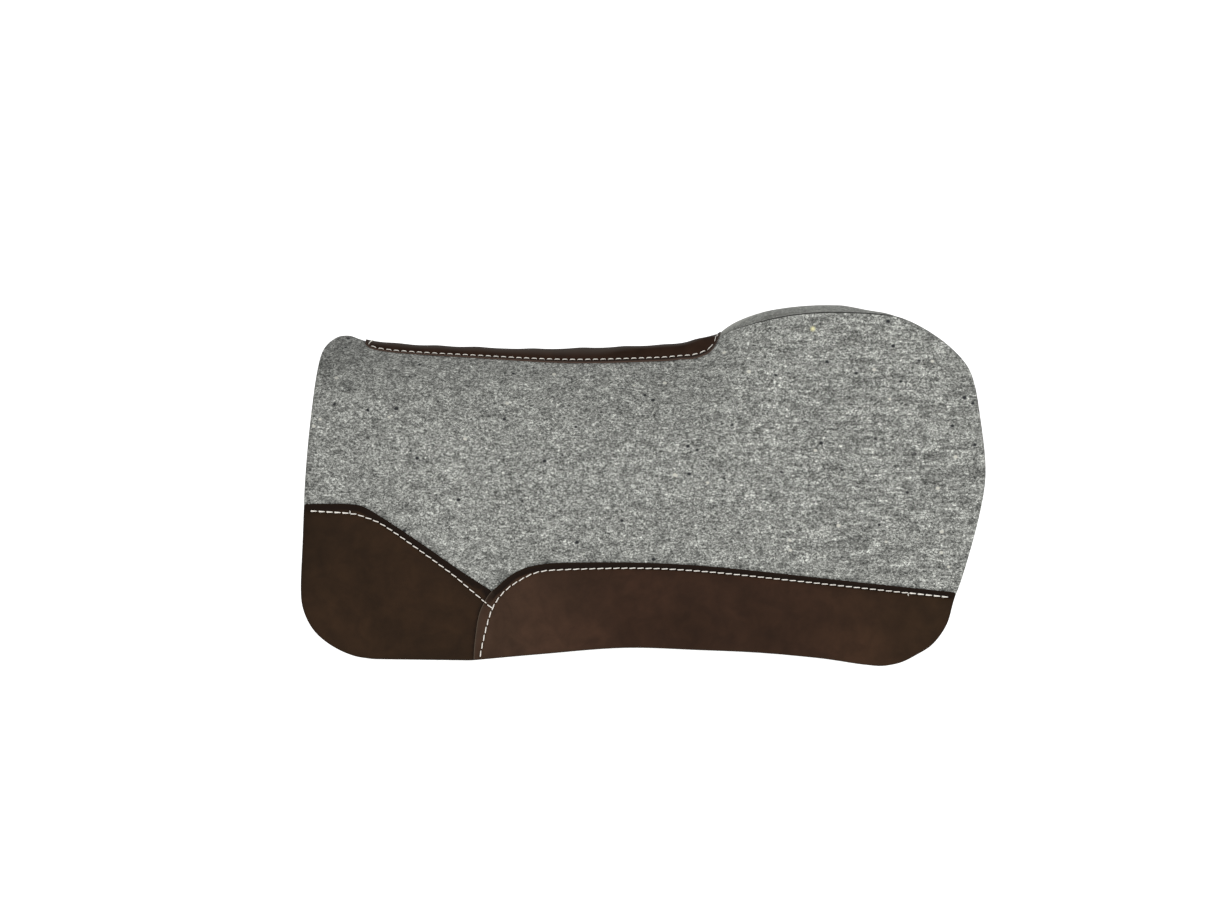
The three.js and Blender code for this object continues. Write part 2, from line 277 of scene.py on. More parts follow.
# ---------------------------------------------------------------- meshes

ROW_RISE = 0.866       # rows of evenly sided triangles, over their spacing
INNER_FACE_UV = (0, 1000)
NEAR_SIDE_UV = (3000, 0)
SPINE_LEATHER_UV = (0, 2000)
SPINE_STITCHES_UV = (0, 4000)


def fill(ring, spacing, detail=None, detail_gap=0.0):
    """Triangles that fill a ring, with detail points among evenly spread ones."""
    low, high = ring.min(0), ring.max(0)
    rows = []
    for k, y in enumerate(np.arange(low[1], high[1], spacing * ROW_RISE)):
        x = np.arange(low[0] + spacing / 2 * (k % 2), high[0], spacing)
        rows.append(np.stack([x, np.full(len(x), y)], -1))
    grid = np.vstack(rows)
    grid = grid[inside(grid, ring)]
    grid = grid[distance_to(grid, ring, True) > 0.6 * spacing]
    if detail is not None:
        detail = detail[inside(detail, ring)]
        detail = detail[distance_to(detail, ring, True) > 0.5]
        clear = spread(detail, grid) > detail_gap
        grid = np.vstack([detail, grid[clear]])
    points = np.vstack([ring, grid])
    n = len(ring)
    edges = [(i, (i + 1) % n) for i in range(n)]
    got = geometry.delaunay_2d_cdt([Vector(p) for p in points], edges, [], 1, 1e-5)
    verts, faces, sources = np.array([tuple(v) for v in got[0]]), got[2], got[3]
    # put the ring's points first, in their order
    order = sorted(range(len(verts)), key=lambda i: min(sources[i], default=len(points)))
    where = np.empty(len(verts), int)
    where[order] = np.arange(len(order))
    return verts[order], [tuple(where[list(f)].tolist()) for f in faces]


def spread(points, others):
    """How far each of the others is from the nearest of the points."""
    tree = kdtree.KDTree(len(points))
    for i, (a, b) in enumerate(points.tolist()):
        tree.insert((a, b, 0), i)
    tree.balance()
    return np.array([tree.find((a, b, 0))[2] for a, b in others.tolist()])


def mesh_object(name, points, faces, uv=None, values=None):
    """A mesh object from points in millimetres, with UVs and named values on its points."""
    mesh = bpy.data.meshes.new(name)
    mesh.from_pydata((np.asarray(points) * MM).tolist(), [], faces)
    if uv is not None:
        layer = mesh.uv_layers.new(name="UVMap")
        index = np.zeros(len(mesh.loops), int)
        mesh.loops.foreach_get("vertex_index", index)
        layer.data.foreach_set("uv", (np.asarray(uv) * MM)[index].ravel())
    for key, value in (values or {}).items():
        attribute = mesh.attributes.new(key, "FLOAT", "POINT")
        attribute.data.foreach_set("value", np.asarray(value, np.float32))
    mesh.shade_smooth()
    mesh.validate()
    piece = bpy.data.objects.new(name, mesh)
    bpy.context.scene.collection.objects.link(piece)
    return piece


def ring_normals(ring):
    """Unit vectors that point into an anticlockwise ring."""
    along = np.roll(ring, -1, 0) - np.roll(ring, 1, 0)
    along /= np.linalg.norm(along, axis=1)[:, None]
    return np.stack([-along[:, 1], along[:, 0]], -1)


def closed_sheet(ring, profile, spacing, detail=None, detail_gap=0.0, rounded=None):
    """A closed sheet over a ring of (x, s) points: x, s, depth, faces and uv.

    The profile runs round the edge as (inset, depth), from the outer face to the inner one.
    Where rounded is given and false, the edge stays square.
    """
    into = ring_normals(ring)
    if rounded is not None:
        into = into * rounded[:, None]
    top, faces = fill(ring + into * profile[0][0], spacing, detail, detail_gap)
    n, m = len(ring), len(top)
    flat, depth, uv = [top], [np.full(m, profile[0][1])], [top]
    run = 0.0
    for (inset, down), (last_inset, last_down) in zip(profile[1:-1], profile[:-2]):
        run += math.hypot(inset - last_inset, down - last_down)
        flat.append(ring + into * inset)
        depth.append(np.full(n, down))
        uv.append(ring + into * (profile[0][0] - run))
    flat.append(top)
    depth.append(np.full(m, profile[-1][1]))
    uv.append(top + INNER_FACE_UV)
    start = [0] + [m + n * k for k in range(len(profile) - 1)]
    out = [tuple(f) for f in faces]
    for a, b in zip(start[:-1], start[1:]):
        for i in range(n):
            j = (i + 1) % n
            out.append((a + j, a + i, b + i, b + j))
    last = start[-1]
    out += [tuple(last + k for k in reversed(f)) for f in faces]
    flat = np.vstack(flat)
    return flat[:, 0], flat[:, 1], np.concatenate(depth), out, np.vstack(uv)


def rounded_edge(radius, thickness, bulge, steps=4):
    """An edge profile for closed_sheet: two rounded corners and a slightly full side."""
    turn = [math.pi / 2 * k / steps for k in range(steps + 1)]
    first = [(radius * (1 - math.sin(a)), radius * (1 - math.cos(a))) for a in turn]
    middle = [(-bulge * math.sin(math.pi * t), radius + (thickness - 2 * radius) * t)
              for t in (0.25, 0.5, 0.75)]
    last = [(i, thickness - d) for i, d in reversed(first)]
    return first + middle + last


def wobble(x, s, size, seed):
    """Smooth noise from -1 to 1 over the surface, with features of about that size in mm."""
    scale = 1 / size
    return np.array([noise.fractal(Vector((a * scale, b * scale, seed)), 1.0, 2.0, 2)
                     for a, b in zip(x.tolist(), s.tolist())])


def put(name, points, faces, uv, values, side):
    """The mesh for one side: as given for the off side, mirrored for the near side."""
    if side == "near_side":
        points = points * (1, -1, 1)
        faces = [tuple(reversed(f)) for f in faces]
        uv = uv + NEAR_SIDE_UV
    return mesh_object(name, points, faces, uv, values)


# ---------------------------------------------------------------- how the layers lie

# The radius of the rounded cut edges, and how full the cut is between them.
FELT_EDGE, FELT_BULGE = 2.4, 0.6
LEATHER_EDGE, SPINE_LEATHER_EDGE, LEATHER_BULGE = 1.0, 0.9, 0.1
MARGIN = 7.5           # from a leather's stitched edge to its stitches
TRIM_INSET = 0.8       # of the leather from the felt's cut edge
LAYER_GAP = 0.1
SEAM_GAP = 0.2         # between the two felt panels
MARGIN_DIP, SEAM_DIP = 1.5, 0.6

REAR_TOP_LINE = unroll(spline(REAR_LEATHER_TOP))
FRONT_TOP_LINE = unroll(spline(FRONT_LEATHER_TOP))
LAP_LINE = unroll(spline(LAP_EDGE))
TOP_LINE = np.vstack([REAR_TOP_LINE, FRONT_TOP_LINE[1:]])
REAR_SEAM = unroll(spline(REAR_STITCH))
FRONT_SEAM = unroll(spline(FRONT_STITCH))


def edge_roll(points):
    """How far the felt's outer face has dropped where its cut edge rounds over."""
    inner = np.clip(FELT_EDGE - distance_to(points, OUTLINE, True), 0, FELT_EDGE)
    return FELT_EDGE - np.sqrt(FELT_EDGE ** 2 - inner ** 2)


def seat(points):
    """How deep the stitched leather margins and their stitches are pulled into the felt."""
    gap = distance_to(points, TOP_LINE)
    under = points[:, 1] < np.interp(points[:, 0], TOP_LINE[:, 0], TOP_LINE[:, 1])
    dip = MARGIN_DIP * np.exp(-(gap / np.where(under, 10, 4)) ** 2)
    seams = np.minimum(distance_to(points, REAR_SEAM), distance_to(points, FRONT_SEAM))
    return dip + SEAM_DIP * np.exp(-(seams / 3.5) ** 2)


def rear_under(points):
    """The depth of the rear leather's underside, and of the front one's past the lap."""
    return seat(points) + edge_roll(points) - LAYER_GAP


def front_under(points):
    """The depth of the front leather's underside, which climbs over the rear leather."""
    lap = 1 - smoothstep(*LAP_STEP, points[:, 0])
    return rear_under(points) - (LEATHER + LAYER_GAP) * lap


# ---------------------------------------------------------------- felt panels

FELT_RING, FELT_FILL = 3.2, 3.6     # the mesh's spacing round the edge and inside it
FELT_SEEDS = {"off_side": 1.7, "near_side": 9.2}
SWELLS = ((0.7, 110), (0.2, 11))    # height and breadth of the outer face's swells
INNER_SWELL = (0.9, 130)
REAR_CURL = (5.0, 22)               # how far the rear edge turns in, and over what width
NEAR_FLAP_DROP = 4.5                # the near side's flap is lower by this at the front


def felt_tones(x, s, depth):
    """Painted shade on the felt, its inner face, and a painted highlight on the flap's lip with a
    painted shadow line under it.
    """
    outward = np.clip(1 - depth / THICKNESS, 0, 1)
    inward = 1 - outward
    rear_top = (1 - smoothstep(-345, -290, x)) * smoothstep(270, 345, s) * 0.85
    rear_edge = 0.9 * (1 - smoothstep(-HALF_LENGTH, -HALF_LENGTH + 20, x))
    rear_part = 0.25 * (1 - smoothstep(-330, -230, x))
    parting = 0.8 * smoothstep(70, 88, x) * (1 - smoothstep(105, 200, x))
    shade = np.maximum(np.maximum(rear_top, rear_edge), rear_part) * outward
    # the flap's top edge gets a painted highlight on its lip and a painted shadow line just under
    # it
    flap = smoothstep(300, 340, s) * smoothstep(78, 96, x) * (1 - smoothstep(262, 300, x))
    return {
        "shade": shade + parting * inward,
        # the inner face, which the material makes smoother and lighter, the lightness partly
        # painted light
        "inner": smoothstep(0.04, 0.12, inward),
        "painted_lip_highlight": smoothstep(0.8, 1.4, depth) * (1 - smoothstep(2.6, 5, depth)) * flap,
        "painted_crease_shadow": smoothstep(0, 0.15, depth) * (1 - smoothstep(0.8, 1.4, depth)) * flap,
    }


def felt_panel(side):
    """One side's felt: its face swells a little, and dips under the stitched leathers."""
    ring = relax(spaced(OUTLINE, FELT_RING, True))
    profile = rounded_edge(FELT_EDGE, THICKNESS, FELT_BULGE)
    x, s, depth, faces, uv = closed_sheet(ring, profile, FELT_FILL)
    tones = felt_tones(x, s, depth)
    seed = FELT_SEEDS[side]
    points = np.stack([x, s], -1)
    outward = np.clip(1 - depth / THICKNESS, 0, 1)
    covered = s < np.interp(x, TOP_LINE[:, 0], TOP_LINE[:, 1])
    free = 1 - np.exp(-(distance_to(points, TOP_LINE) / 12) ** 2)
    free = np.where(covered, 0, free)
    (broad, breadth), (small, width) = SWELLS
    swell = free * (broad * wobble(x, s, breadth, seed) + small * wobble(x, s, width, seed + 4))
    inner_swell = INNER_SWELL[0] * wobble(x, s, INNER_SWELL[1], seed + 8) * (1 - outward)
    curl = REAR_CURL[0] * (1 - smoothstep(-HALF_LENGTH, -HALF_LENGTH + REAR_CURL[1], x))
    curl = curl * smoothstep(182, 230, s)
    depth = depth + (seat(points) - swell) * outward ** 2 + inner_swell + curl
    points = place(x, s, depth)
    points[:, 1] = np.minimum(points[:, 1], -SEAM_GAP / 2)
    if side == "near_side":
        corner = smoothstep(225, 270, x) * (1 - smoothstep(290, 345, x))
        points[:, 2] -= NEAR_FLAP_DROP * corner * smoothstep(330, 390, points[:, 2])
    points[:, 2] = np.maximum(points[:, 2], 0.0)
    piece = put(f"{side}_felt", points, faces, uv, tones, side)
    return finish(piece, "felt", f"{side}_felt_panel")


# ---------------------------------------------------------------- wear leathers

# Mesh spacing round the edge, inside it and from the closer points along the stitches.
LEATHER_RING, LEATHER_FILL, LEATHER_DETAIL = 2.6, 4.2, 1.6
DETAIL_STEP = 1.5
PRESSED_LINE = (0.45, 1.3)     # depth and half width of the line that the stitches press in
PRESSED_HOLE = (0.8, 0.9)
RIPPLE = (0.25, 60)            # height and breadth of the leather's ripples
LEATHER_SEEDS = {"rear": 3.1, "front": 6.4}
NEAR_SIDE_SEED = 20            # more than the off side's


def rows_along(line, offsets):
    """Rows of points along a line, at some distances to its left."""
    line = spaced(line, DETAIL_STEP)
    along = np.gradient(line, axis=0)
    along /= np.linalg.norm(along, axis=1)[:, None]
    left = np.stack([-along[:, 1], along[:, 0]], -1)
    return np.vstack([line + left * gap for gap in offsets])


def groove(points, seam, pitch):
    """The groove that a row of stitches presses into leather, deepest at its holes."""
    holes = spaced(seam, pitch)
    line = distance_to(points, seam)
    hole = np.full(len(points), np.inf)
    near = line < 4
    gaps = np.linalg.norm(points[near][:, None] - holes[None], axis=2)
    hole[near] = gaps.min(1)
    (line_depth, line_width), (hole_depth, hole_width) = PRESSED_LINE, PRESSED_HOLE
    return (line_depth * np.exp(-(line / line_width) ** 2)
            + hole_depth * np.exp(-(hole / hole_width) ** 2))


def wear_leather(side, which):
    """A leather along the lower edge. The rear one's stitches run a little onto the front one."""
    rear = which == "rear"
    if rear:
        low = outline_between(REAR_LEATHER_TOP[0], LAPPED_CORNER)
        hidden = spaced(unroll([LAPPED_CORNER, LEATHERS_MEET]), 3)
        ring = np.vstack([low[:-1], hidden[:-1], REAR_TOP_LINE[::-1][:-1]])
        seams, edge, under = (REAR_SEAM,), REAR_TOP_LINE, rear_under
    else:
        low = outline_between(LAP_EDGE[-1], FRONT_LEATHER_TOP[-1])
        ring = np.vstack([low[:-1], FRONT_TOP_LINE[::-1][:-1], LAP_LINE[:-1]])
        edge = np.vstack([LAP_LINE[::-1], FRONT_TOP_LINE[1:]])
        seams, under = (FRONT_SEAM, REAR_SEAM), front_under
    ring = relax(spaced(ring, LEATHER_RING, True), 1)
    trimmed = distance_to(ring, OUTLINE, True) < 1.0
    ring = ring + ring_normals(ring) * TRIM_INSET * trimmed[:, None]
    across = (-4.5, -2.8, -1.6, -0.8, 0, 0.8, 1.6, 2.8, 4.5)
    detail = np.vstack([rows_along(line, across) for line in seams])
    profile = rounded_edge(LEATHER_EDGE, LEATHER, LEATHER_BULGE, 3)
    x, s, depth, faces, uv = closed_sheet(ring, profile, LEATHER_FILL, detail, LEATHER_DETAIL)
    points = np.stack([x, s], -1)
    outward = np.clip(1 - depth / LEATHER, 0, 1)
    pressed = sum(groove(points, line, STITCH_PITCH) for line in seams)
    seed = LEATHER_SEEDS[which] + (0 if side == "off_side" else NEAR_SIDE_SEED)
    ripple = RIPPLE[0] * wobble(x, s, RIPPLE[1], seed)
    gap = distance_to(points, edge)
    # painted shade on the margin above the stitches, which turns up and away from the light
    margin = 1 - smoothstep(MARGIN - 1.0, MARGIN + 0.8, gap)
    if not rear:
        # less painted shade on the upright part of the lap's margin
        margin = margin * (0.12 + 0.88 * smoothstep(60, 74, s))
    rim = np.exp(-(np.minimum(gap, distance_to(points, ring, True)) / 0.9) ** 2)
    lap_gap = distance_to(points, LAP_LINE)
    # on the rear leather, a painted shadow along the front leather's lapping edge
    if rear:
        margin = np.maximum(margin, 0.75 * np.exp(-(lap_gap / 1.8) ** 2))
    # the lapping cut edge: a lighter edge tone with a painted highlight on its rounding
    cut = np.zeros(len(x)) if rear else np.exp(-((lap_gap - 0.3) / 0.5) ** 2)
    depth = depth - LEATHER + under(points) + (pressed + ripple * (gap > 12)) * outward
    placed = place(x, s, depth)
    placed[:, 2] = np.maximum(placed[:, 2], 0.0)
    name = f"{side}_{which}_wear_leather"
    tones = {"margin": margin, "rim": rim, "cut": cut}
    piece = put(name + "_sheet", placed, faces, uv, tones, side)
    finish(piece, f"{which}_leather", name)
    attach(piece, side)


# ---------------------------------------------------------------- stitches

PLY = 9                        # points round a thread
THREAD_RADIUS = 0.61
DOUBLED_RADIUS = THREAD_RADIUS * 0.8
DOUBLED_HOLES = 6              # where the run is sewn twice
DOUBLED_OFFSET = 0.45
TAIL_RADIUS = 0.55
TWIST = (0.13, 3, 9)           # height, number and turn of the strands along one stitch


def stitch(a, b, radius, lean=0.35, sink=2.7, rise=0.4, arch=0.0, dive=0.15):
    """One stitch between two holes, as x, s and height over the leather, and its faces.

    It leans across the line, rises over the leather and sinks into the holes. It dives over
    that share of its length at each end, and may arch to one side.
    """
    along = b - a
    length = np.linalg.norm(along)
    along = along / length
    left = np.array([-along[1], along[0]])
    t = np.array([0.07, 0.10, 0.13, 0.19, 0.30, 0.43, 0.57, 0.70, 0.81, 0.87, 0.90, 0.93])
    end = np.minimum(t, 1 - t)
    height = rise - sink * (1 - smoothstep(0.06, dive, end)) + 0.25 * np.sin(math.pi * t)
    thick = radius * (0.72 + 0.28 * smoothstep(0.07, 0.3, end))
    centre = a + np.outer(t * length, along) + np.outer(lean * (2 * t - 1), left)
    centre = centre + np.outer(arch * np.sin(math.pi * t), left)
    turn = np.arange(PLY) / PLY * 2 * math.pi
    lobe, strands, twist = TWIST
    reach = thick[:, None] * (1 + lobe * np.cos(strands * turn[None] - twist * t[:, None]))
    side = reach * np.cos(turn)
    up = reach * np.sin(turn) * 0.85
    flat = centre[:, None] + side[..., None] * left
    lift = height[:, None] + up
    points = np.concatenate([flat, lift[..., None]], -1).reshape(-1, 3)
    return points, tube_faces(len(t))


def merged(*parts):
    """Several (points, faces) pairs as one."""
    points, faces, count = [], [], 0
    for p, f in parts:
        points.append(p)
        faces += [tuple(i + count for i in face) for face in f]
        count += len(p)
    return np.vstack(points), faces


def stitches(holes, radius, **shape):
    """A run of stitches through holes: their points as (x, s, height) and their faces."""
    return merged(*(stitch(a, b, radius, **shape) for a, b in zip(holes[:-1], holes[1:])))


def tail(start, step, length=3.2, curl=0.9):
    """The cut end of a thread, lying loose on the leather."""
    t = np.linspace(0, 1, 9)
    aside = (step[1], -step[0])
    centre = start + np.outer(t, step * length) + np.outer(curl * np.sin(3 * t), aside)
    turn = np.arange(PLY) / PLY * 2 * math.pi
    thick = TAIL_RADIUS * (1 - 0.5 * t ** 4)
    lift = 0.5 + 0.5 * np.sin(math.pi * t)
    flat = centre[:, None] + (thick[:, None] * np.cos(turn))[..., None] * aside
    height = lift[:, None] + thick[:, None] * np.sin(turn)
    points = np.concatenate([flat, height[..., None]], -1).reshape(-1, 3)
    return points, tube_faces(len(t))


def tube_faces(rings):
    """The faces of a closed tube over rings of PLY points."""
    faces = []
    for k in range(rings - 1):
        for j in range(PLY):
            n = (j + 1) % PLY
            faces.append((k * PLY + j, k * PLY + n, (k + 1) * PLY + n, (k + 1) * PLY + j))
    faces.append(tuple(reversed(range(PLY))))
    faces.append(tuple(range((rings - 1) * PLY, rings * PLY)))
    return faces


def wear_stitching(side, which):
    """The stitches along a wear leather's top edge, doubled where the run ends."""
    rear = which == "rear"
    holes = spaced(REAR_SEAM if rear else FRONT_SEAM, STITCH_PITCH)
    doubled = holes[:DOUBLED_HOLES] if rear else holes[-DOUBLED_HOLES:]
    step = doubled[-1] - doubled[0]
    step = np.array([-step[1], step[0]]) / np.linalg.norm(step)
    flat, faces = merged(
        stitches(holes, THREAD_RADIUS),
        stitches(doubled + step * DOUBLED_OFFSET, DOUBLED_RADIUS, rise=0.8, lean=-0.2),
        tail(doubled[-1], step) if rear else tail(doubled[0], -step),
    )
    under = front_under(flat[:, :2])
    if rear:
        lap_x = np.interp(flat[:, 1], LAP_LINE[::-1, 1], LAP_LINE[::-1, 0])
        under = np.where(flat[:, 0] > lap_x, under, rear_under(flat[:, :2]))
    points = place(flat[:, 0], flat[:, 1], under - LEATHER - flat[:, 2])
    name = f"{side}_{which}_wear_leather_stitching"
    piece = put(name.replace("stitching", "stitches"), points, faces, flat[:, :2], {}, side)
    finish(piece, "thread", name)
    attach(piece, side)


# ---------------------------------------------------------------- the leather over the spine

SPINE_REAR, SPINE_FRONT = -319.0, 87.0
SPINE_RING, SPINE_FILL, SPINE_DETAIL = 2.2, 3.0, 1.3
SPINE_HALF_WIDTH = 17.0
SPINE_WIDER, SPINE_NARROWER = 4.0, 1.2      # at the front and at the rear
SPINE_REAR_TAPER, SPINE_FRONT_ROUND = 14.0, 13.0
SPINE_MARGIN = (1.4, 3.3)      # at the rear and at the front
SPINE_LIFT = 0.6               # over the felt
SPINE_THREAD_RADIUS = 0.45
SPINE_TAIL = (8.0, -1.2)       # where the loose thread end starts, from the rear end
CREST_ROUND = 2.5
PUCKERS = (-283, -237, -192, -128, -72, -23, 22)
PUCKER = (0.9, 13)             # height and half length of each


def spine_edge():
    """The off side's edge of the spine leather as (x, -distance from the middle plane)."""
    x = np.linspace(SPINE_REAR, SPINE_FRONT, 800)
    rear = np.maximum(0, (SPINE_REAR + SPINE_REAR_TAPER - x) / SPINE_REAR_TAPER)
    front = np.maximum(0, (x - SPINE_FRONT + SPINE_FRONT_ROUND) / SPINE_FRONT_ROUND)
    width = SPINE_HALF_WIDTH + SPINE_WIDER * smoothstep(38, 64, x)
    width = width * np.sqrt(1 - 0.6 * rear ** 2) * (1 - front ** 3) ** 0.4
    width = width - SPINE_NARROWER * (1 - smoothstep(-200, -60, x))
    edge = np.vstack([(SPINE_REAR, 0), np.stack([x, -width], -1)])
    return spaced(edge, 1.0)


SPINE_EDGE = spine_edge()


def saddle_height(x, v):
    """The height of the felt's outer face at a distance v from the middle plane."""
    _, radius, centre_y, centre_z = section_at(x)
    arc = centre_z + np.sqrt(np.maximum(radius ** 2 - (centre_y + v) ** 2, 0))
    top = crest_at(x)
    return (top + arc - np.sqrt((top - arc) ** 2 + 1)) / 2


def place_spine(x, t, depth):
    """Points over the spine, t (negative) from the middle plane, depth under the felt's face."""
    v = -t

    def height_at_v(d):
        return saddle_height(x, np.sqrt(d ** 2 + CREST_ROUND ** 2))

    height = height_at_v(v)
    slope = height_at_v(v + 0.5) - height_at_v(v - 0.5)
    scale = 1 / np.sqrt(1 + slope ** 2)
    y = -(v + depth * slope * scale)
    return np.stack([x, np.minimum(y, 0), height - depth * scale], -1)


def spine_margin(points):
    """From the spine leather's edge to its stitches."""
    low, high = SPINE_MARGIN
    return low + (high - low) * smoothstep(SPINE_REAR, -40, points[:, 0])


def spine_seam():
    """The stitch line: parallel to the edge, turning up to the ridge at the front."""
    along = np.gradient(SPINE_EDGE, axis=0)
    along /= np.linalg.norm(along, axis=1)[:, None]
    inward = np.stack([-along[:, 1], along[:, 0]], -1)
    line = SPINE_EDGE + inward * spine_margin(SPINE_EDGE)[:, None]
    line = line[(line[:, 1] < -0.3) & (line[:, 0] > SPINE_REAR + 5)]
    return spaced(line, 1.0)


SPINE_SEAM = spine_seam()


def spine_under(points):
    """The depth of the spine leather's underside, which puckers between its stitch lines."""
    x, t = points.T
    free = smoothstep(2, 9, distance_to(points, SPINE_SEAM)) * (t > -SPINE_HALF_WIDTH + 3)
    pucker, reach = PUCKER
    humps = sum(np.exp(-((x - at) / reach) ** 2) for at in PUCKERS)
    hollow = pucker * humps + 0.5 + 1.3 * smoothstep(-150, -70, x) * (1 - smoothstep(50, 80, x))
    dip = 0.4 * np.exp(-(distance_to(points, SPINE_SEAM) / 2.5) ** 2)
    hollow = hollow * smoothstep(SPINE_REAR, SPINE_REAR + 30, x)
    return -SPINE_LIFT - hollow * free + dip


def spine_leather(side):
    """Half of the strip over the spine. The two halves meet on the middle plane."""
    ridge = spaced(np.array([(SPINE_FRONT, 0.0), (SPINE_REAR, 0.0)]), 2.5)
    edge = spaced(SPINE_EDGE, SPINE_RING)
    edge = edge[edge[:, 1] < -0.5]
    ring = np.vstack([edge, ridge])
    cut = ring[:, 1] < -0.01
    detail = rows_along(SPINE_SEAM, (-1.6, -0.8, 0, 0.8, 1.6, 2.8, 4.5))
    profile = rounded_edge(SPINE_LEATHER_EDGE, SPINE_LEATHER, LEATHER_BULGE, 3)
    x, t, depth, faces, uv = closed_sheet(ring, profile, SPINE_FILL, detail, SPINE_DETAIL, cut)
    points = np.stack([x, t], -1)
    outward = np.clip(1 - depth / SPINE_LEATHER, 0, 1)
    pressed = 0.8 * groove(points, SPINE_SEAM, SPINE_PITCH)
    gap = distance_to(points, SPINE_EDGE)
    margin = 1 - smoothstep(-0.8, 0.8, gap - spine_margin(points))
    rim = np.exp(-(gap / 0.8) ** 2)
    depth = depth - SPINE_LEATHER + spine_under(points) + pressed * outward
    placed = place_spine(x, t, depth)
    placed[np.abs(t) < 1e-6, 1] = 0
    # a painted sheen along the top of the spine leather, narrower towards the front
    crest = smoothstep(-11 + 6 * smoothstep(-60, 0, x), -1, t)
    piece = put(f"spine_leather_{side}", placed, faces, uv + SPINE_LEATHER_UV,
                {"margin": margin, "rim": rim, "crest": crest}, side)
    return finish(piece, "spine_leather", "spine_leather")


def spine_stitches(side):
    """The stitches along one edge of the spine leather, with a loose end on the off side."""
    holes = spaced(SPINE_SEAM, SPINE_PITCH)
    flat, faces = stitches(holes, SPINE_THREAD_RADIUS, lean=0.1, sink=2.4, rise=0.3, arch=0.2,
                           dive=0.24)
    if side == "off_side":
        end = np.array([SPINE_REAR + SPINE_TAIL[0], SPINE_TAIL[1]])
        flat, faces = merged((flat, faces), tail(end, np.array([-0.38, -0.92]), 10.5, 0.2))
    base = spine_under(flat[:, :2]) - SPINE_LEATHER
    points = place_spine(flat[:, 0], flat[:, 1], base - flat[:, 2])
    uv = flat[:, :2] + SPINE_STITCHES_UV
    piece = put(f"spine_stitches_{side}", points, faces, uv, {}, side)
    return finish(piece, "thread", "spine_leather_stitching")


SEAM_THREAD_X = (-330.0, 66.0)
SEAM_THREAD_DEPTH = 9.0        # under the ridge, between the two panels
SEAM_THREAD_RADIUS = 0.35
SEAM_THREAD_WAVE = (8.0, 1.1)  # its pitch and how far it goes up and down


def spine_seam_thread():
    """The thread that sews the two panels edge to edge, hidden under the spine leather."""
    pitch, rise = SEAM_THREAD_WAVE
    x = np.arange(*SEAM_THREAD_X, pitch / 10)
    z = ridge_at(x) - SEAM_THREAD_DEPTH + rise * np.sin(2 * math.pi * x / pitch)
    turn = np.arange(PLY) / PLY * 2 * math.pi
    y = SEAM_THREAD_RADIUS * np.cos(turn)
    up = SEAM_THREAD_RADIUS * np.sin(turn)
    points = np.stack(np.broadcast_arrays(x[:, None], y[None], z[:, None] + up[None]), -1)
    flat = np.stack(np.broadcast_arrays(x[:, None], up[None]), -1).reshape(-1, 2)
    piece = mesh_object("spine_seam_stitches", points.reshape(-1, 3), tube_faces(len(x)), flat)
    finish(piece, "thread", "spine_seam_thread")
    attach(piece, "spine")


# ---------------------------------------------------------------- materials

def material(name, looks):
    """A new material with set values on its shader, and functions that add and link nodes."""
    made = bpy.data.materials.new(name)
    made.use_nodes = True
    nodes, links = made.node_tree.nodes, made.node_tree.links
    shader = nodes["Principled BSDF"]
    for key, value in looks.items():
        shader.inputs[key].default_value = value

    def add(kind, inputs=None, **settings):
        node = nodes.new("ShaderNode" + kind)
        for key, value in settings.items():
            setattr(node, key, value)
        for key, value in (inputs or {}).items():
            if isinstance(value, bpy.types.NodeSocket):
                links.new(value, node.inputs[key])
            else:
                node.inputs[key].default_value = value
        return node

    def link(socket, target):
        links.new(socket, shader.inputs[target])

    return made, add, link


def ramp(add, fac, stops):
    """A colour ramp over a value, with stops as (value, colour)."""
    node = add("ValToRGB", {"Fac": fac})
    elements = node.color_ramp.elements
    while len(elements) < len(stops):
        elements.new(0.5)
    for element, (at, colour) in zip(elements, stops):
        element.position = at
        element.color = (*colour, 1)
    return node.outputs["Color"]


def grey(v):
    return (v, v, v)


def mix(add, a, b, fac, how="MIX"):
    """Two colours blended by a share. Each may be a socket or a plain value."""
    node = add("Mix", data_type="RGBA", blend_type=how)
    for socket, value in zip((node.inputs[0], node.inputs[6], node.inputs[7]), (fac, a, b)):
        if isinstance(value, bpy.types.NodeSocket):
            node.id_data.links.new(value, socket)
        elif isinstance(value, (int, float)):
            socket.default_value = value
        else:
            socket.default_value = (*value, 1)
    return node.outputs[2]


def tinted(add, colour, tone, name):
    """The colour, turned into a tone where a named value of the mesh says so."""
    return mix(add, colour, tone, add("Attribute", attribute_name=name).outputs["Fac"])


def speckled(add, colour, value, stops, share=1.0):
    """The colour times the tones that a ramp gives a noise."""
    return mix(add, colour, ramp(add, value, stops), share, "MULTIPLY")


def fractal(add, vector, scale, detail, roughness=0.5, distortion=0.0):
    return add("TexNoise", {"Vector": vector, "Scale": scale, "Detail": detail,
                            "Roughness": roughness, "Distortion": distortion}).outputs["Fac"]


def along_pad(add, spot):
    """The distance along the pad in metres from its middle, which both sides share."""
    along = add("SeparateXYZ", {"Vector": spot}).outputs["X"]
    low, high = -0.5, NEAR_SIDE_UV[0] * MM - 0.5
    return add("Math", {0: along, 1: high, 2: low}, operation="WRAP").outputs["Value"]


FIBRES = ((0.080, 0.082, 0.076), (0.262, 0.267, 0.247), (0.62, 0.63, 0.59))
# the flecks: which random channel picks them, their tone, and the share left out
FLECKS = (("Red", (0.035, 0.036, 0.038), 0.915), ("Green", (0.66, 0.65, 0.58), 0.945))
STRAW, STRAW_PLACE = (0.95, 0.90, 0.50), (0.188, 0.3773, 0)
